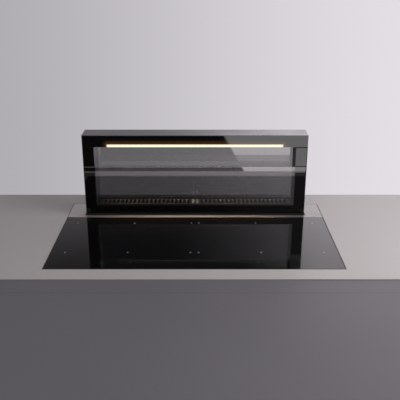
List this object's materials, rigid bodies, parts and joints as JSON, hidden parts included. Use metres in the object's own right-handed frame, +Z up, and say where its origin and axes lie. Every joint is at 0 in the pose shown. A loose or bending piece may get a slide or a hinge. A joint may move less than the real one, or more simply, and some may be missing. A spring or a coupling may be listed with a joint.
{
  "type": "induction cooktop with integrated rising extractor",
  "caption": "Wide built-in glass induction hob with a motorised glass extractor tower that rises from a steel plate behind the zones, with light, grease filters, blower and duct outlet.",
  "frame": {"origin": "centre of the worktop cut-out on the worktop's rebate face, the underside of the sealing tape", "axes": "+X to the right seen by the cook, +Y to the back, +Z up; the tower is stored raised"},
  "size_m": [0.88, 0.515, 0.816],
  "materials": {
    "ceramic_glass": "polished black glass ceramic",
    "fascia_glass": "polished black back-painted glass",
    "window_glass": "tinted clear glass with a black printed border",
    "plate_steel": "satin brushed stainless steel",
    "filter_steel": "bright stainless sheet",
    "filter_mesh": "expanded aluminium mesh",
    "galvanised": "galvanised sheet",
    "ground_steel": "ground steel",
    "black_metal": "black anodised",
    "cap_metal": "satin anodised aluminium, graphite",
    "aluminium": "mill finish aluminium",
    "bronze": "machined bronze",
    "copper": "lacquered copper strand",
    "ferrite": "sintered ferrite",
    "mica": "mica and fibre sheet",
    "rubber": "black silicone",
    "opal": "opal diffuser",
    "board": "circuit board",
    "black_plastic": "black moulded plastic",
    "grey_plastic": "grey moulded plastic",
    "motor_metal": "plated steel can"
  },
  "bodies": {
    "housing": {"ceramic_glass": "ceramic_glass", "trim_plate": "plate_steel", "slot_gasket": "rubber", "seal_tape": "rubber", "hob_tray": "galvanised", "coil_support_plate": "aluminium", "coil_windings": "copper", "coil_carriers": "grey_plastic", "ferrite_bars": "ferrite", "coil_covers": "mica", "zone_sensors": "grey_plastic", "power_boards": "board", "heat_sinks": "aluminium", "fan_frames": "black_plastic", "touch_board": "board", "touch_board_holder": "black_plastic", "mains_terminal": "grey_plastic", "worktop_clamps": "galvanised", "screw_bearings": "aluminium", "left_guide_rod": "ground_steel", "right_guide_rod": "ground_steel", "left_lift_motor": "motor_metal", "right_lift_motor": "motor_metal", "casing_shell": "galvanised", "casing_front_panel": "galvanised", "blower_scroll": "black_plastic", "blower_cover": "black_plastic", "blower_motor": "motor_metal", "outlet_collar": "black_plastic", "control_box": "grey_plastic"},
    "tower": {"tower_cap": "cap_metal", "header_fascia": "fascia_glass", "led_profile": "aluminium", "led_board": "board", "led_diffuser": "opal", "pane_hinge_pins": "ground_steel", "rear_pane": "window_glass", "left_stile": "black_metal", "right_stile": "black_metal", "tower_base_frame": "black_metal", "left_carriage": "aluminium", "right_carriage": "aluminium", "lift_nuts": "bronze"},
    "front_window": {"front_pane": "window_glass", "pane_rail": "black_metal"},
    "left_cassette": {"left_filter": "filter_steel", "left_filter_pack": "filter_mesh", "left_filter_tab": "filter_steel"},
    "right_cassette": {"right_filter": "filter_steel", "right_filter_pack": "filter_mesh", "right_filter_tab": "filter_steel"},
    "left_screw": {"left_lead_screw": "ground_steel"},
    "right_screw": {"right_lead_screw": "ground_steel"},
    "blower_wheel": {"impeller_hub": "grey_plastic", "impeller_blades": "grey_plastic", "impeller_ring": "grey_plastic"},
    "left_fan": {"left_fan_rotor": "black_plastic"},
    "right_fan": {"right_fan_rotor": "black_plastic"},
    "left_valve": {"left_flap": "aluminium"},
    "right_valve": {"right_flap": "aluminium"}
  },
  "joints": [
    {"name": "tower_lift", "type": "slide", "parent": "housing", "child": "tower", "axis": [0, 0, 1], "range_m": [-0.286, 0]},
    {"name": "left_screw_spin", "type": "hinge", "parent": "housing", "child": "left_screw", "pos_m": [-0.401, 0.18, -0.2], "axis": [0, 0, 1], "continuous": true},
    {"name": "right_screw_spin", "type": "hinge", "parent": "housing", "child": "right_screw", "pos_m": [0.401, 0.18, -0.2], "axis": [0, 0, 1], "continuous": true},
    {"name": "front_pane_tilt", "type": "hinge", "parent": "tower", "child": "front_window", "pos_m": [0, 0.1595, 0.022], "axis": [1, 0, 0], "range_deg": [0, 85]},
    {"name": "left_filter_lift", "type": "slide", "parent": "tower", "child": "left_cassette", "axis": [0, 0, 1], "range_m": [0, 0.19]},
    {"name": "right_filter_lift", "type": "slide", "parent": "tower", "child": "right_cassette", "axis": [0, 0, 1], "range_m": [0, 0.19]},
    {"name": "impeller_spin", "type": "hinge", "parent": "housing", "child": "blower_wheel", "pos_m": [0, 0.06, -0.248], "axis": [0, 1, 0], "continuous": true},
    {"name": "left_fan_spin", "type": "hinge", "parent": "housing", "child": "left_fan", "pos_m": [-0.066, -0.036, -0.035], "axis": [0, 0, 1], "continuous": true},
    {"name": "right_fan_spin", "type": "hinge", "parent": "housing", "child": "right_fan", "pos_m": [0.066, -0.036, -0.035], "axis": [0, 0, 1], "continuous": true},
    {"name": "left_flap_swing", "type": "hinge", "parent": "housing", "child": "left_valve", "pos_m": [0.10157, 0.046, -0.457], "axis": [0, -1, 0], "range_deg": [0, 75], "stiffness_Nm_per_rad": 0.05, "springref_deg": -34.38},
    {"name": "right_flap_swing", "type": "hinge", "parent": "housing", "child": "right_valve", "pos_m": [0.10957, 0.046, -0.457], "axis": [0, 1, 0], "range_deg": [0, 75], "stiffness_Nm_per_rad": 0.05, "springref_deg": -34.38}
  ],
  "couplings": [
    {"joint": "left_screw_spin", "follows": "tower_lift", "rad_per_m": -785.4},
    {"joint": "right_screw_spin", "follows": "tower_lift", "rad_per_m": -785.4}
  ]
}
